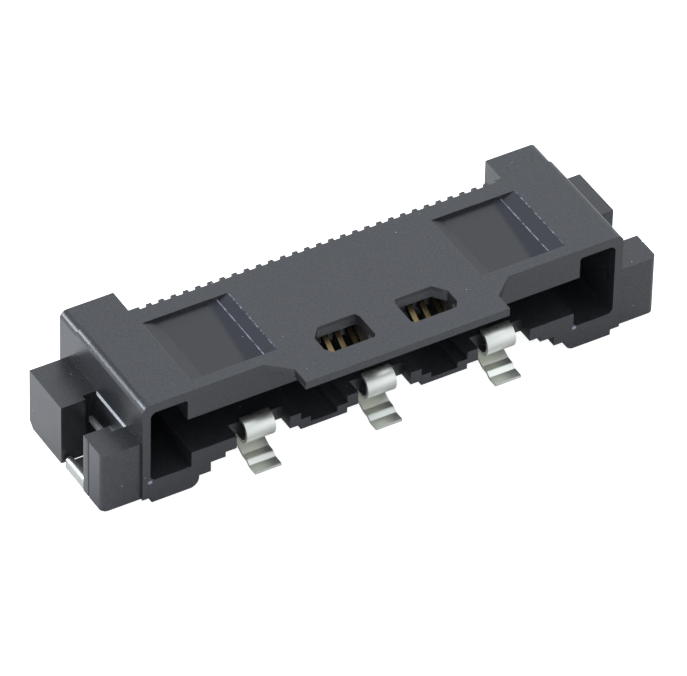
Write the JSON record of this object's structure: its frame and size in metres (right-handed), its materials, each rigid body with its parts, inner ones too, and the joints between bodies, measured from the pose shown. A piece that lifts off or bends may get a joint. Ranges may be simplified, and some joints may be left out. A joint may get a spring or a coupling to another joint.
{
  "type": "shielded flat cable connector",
  "caption": "Low right-angle surface-mount socket for a shielded flat flexible cable, with a comb of contacts at the rear, ground clips in the mouth and soldered end lugs.",
  "frame": {"origin": "on the board, under the middle of the overall width and depth", "axes": "+X along the row of contacts, -Y towards the cable, +Z away from the board"},
  "size_m": [0.023, 0.0076, 0.0047],
  "materials": {
    "housing_plastic": "black moulded resin with a fine matte grain",
    "gold_plate": "gold-plated stamped copper alloy",
    "tin_plate": "tin-plated stamped copper alloy"
  },
  "bodies": {
    "root": {"housing": "housing_plastic", "contact_01": "gold_plate", "contact_02": "gold_plate", "contact_03": "gold_plate", "contact_04": "gold_plate", "contact_05": "gold_plate", "contact_06": "gold_plate", "contact_07": "gold_plate", "contact_08": "gold_plate", "contact_09": "gold_plate", "contact_10": "gold_plate", "contact_11": "gold_plate", "contact_12": "gold_plate", "contact_13": "gold_plate", "contact_14": "gold_plate", "contact_15": "gold_plate", "contact_16": "gold_plate", "contact_17": "gold_plate", "contact_18": "gold_plate", "contact_19": "gold_plate", "contact_20": "gold_plate", "contact_21": "gold_plate", "contact_22": "gold_plate", "contact_23": "gold_plate", "contact_24": "gold_plate", "contact_25": "gold_plate", "contact_26": "gold_plate", "contact_27": "gold_plate", "contact_28": "gold_plate", "contact_29": "gold_plate", "contact_30": "gold_plate", "ground_clip_1": "tin_plate", "ground_clip_2": "tin_plate", "ground_clip_3": "tin_plate", "solder_nail_left": "tin_plate", "solder_nail_right": "tin_plate"}
  },
  "joints": []
}
